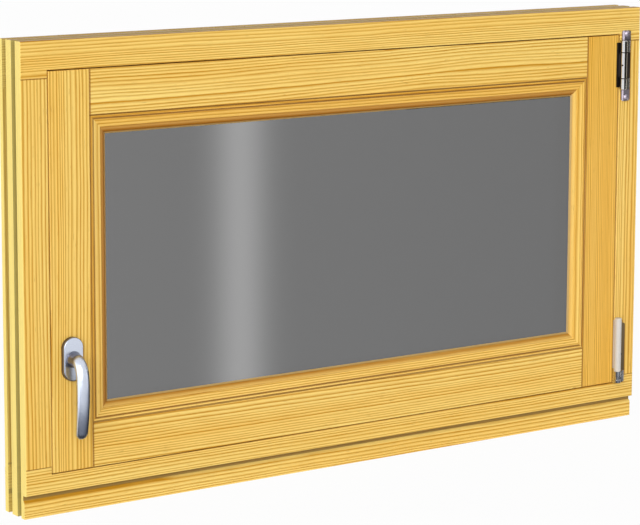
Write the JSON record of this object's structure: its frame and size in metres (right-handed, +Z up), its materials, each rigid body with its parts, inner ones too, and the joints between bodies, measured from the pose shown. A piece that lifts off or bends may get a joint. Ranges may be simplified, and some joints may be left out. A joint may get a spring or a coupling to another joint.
{
  "type": "tilt and turn window",
  "caption": "Wide pine window: grooved outer frame, sash with mitred beads round grey double glazing, lever handle on one stile, two barrel hinges on the other.",
  "frame": {"origin": "middle of the frame's bottom face, halfway through the frame's depth", "axes": "+X to the right seen from the room, +Y to the open air, +Z up"},
  "size_m": [1, 0.0981, 0.6],
  "materials": {
    "frame_pine": "clear coated pine",
    "sash_pine": "clear coated pine",
    "bead_pine": "clear coated pine",
    "gasket_rubber": "soft extruded gasket",
    "sealant": "tan glazing sealant",
    "pane_glass": "grey coated float glass",
    "spacer_metal": "mill finish",
    "rain_rail_metal": "anodised",
    "cap_plastic": "moulded",
    "handle_metal": "satin anodised",
    "spindle_steel": "zinc plated",
    "hinge_zinc": "zinc plated",
    "hinge_chrome": "polished",
    "hinge_silver": "satin silver",
    "hinge_bronze": "dark bronze"
  },
  "bodies": {
    "window": {"bead_bottom": "bead_pine", "bead_left": "bead_pine", "bead_right": "bead_pine", "bead_top": "bead_pine", "corner_hinge_band": "hinge_silver", "corner_hinge_pin": "spindle_steel", "corner_hinge_plate": "hinge_bronze", "corner_hinge_socket": "hinge_chrome", "frame_bottom_rail": "frame_pine", "frame_head": "frame_pine", "frame_jamb_left": "frame_pine", "frame_jamb_right": "frame_pine", "glass_inner": "pane_glass", "glass_outer": "pane_glass", "handle_rosette": "handle_metal", "inner_seal_bottom": "sealant", "inner_seal_left": "sealant", "inner_seal_right": "sealant", "inner_seal_top": "sealant", "outer_seal_bottom": "sealant", "outer_seal_left": "sealant", "outer_seal_right": "sealant", "outer_seal_top": "sealant", "rain_rail": "rain_rail_metal", "rain_rail_cap_left": "cap_plastic", "rain_rail_cap_right": "cap_plastic", "sash_gasket_bottom": "gasket_rubber", "sash_gasket_left": "gasket_rubber", "sash_gasket_right": "gasket_rubber", "sash_gasket_top": "gasket_rubber", "sash_rail_bottom": "sash_pine", "sash_rail_top": "sash_pine", "sash_stile_left": "sash_pine", "sash_stile_right": "sash_pine", "spacer_bottom": "spacer_metal", "spacer_left": "spacer_metal", "spacer_right": "spacer_metal", "spacer_top": "spacer_metal", "stay_hinge_arm": "hinge_chrome", "stay_hinge_lower_knuckle": "hinge_chrome", "stay_hinge_pin": "spindle_steel", "stay_hinge_plate": "hinge_zinc", "stay_hinge_upper_knuckle": "hinge_chrome"},
    "handle": {"handle_lever": "handle_metal", "handle_spindle": "spindle_steel"}
  },
  "joints": [
    {"name": "handle_turn", "type": "hinge", "parent": "window", "child": "handle", "pos_m": [-0.434, -0.028, 0.199], "axis": [0, -1, 0], "range_deg": [0, 180]}
  ]
}
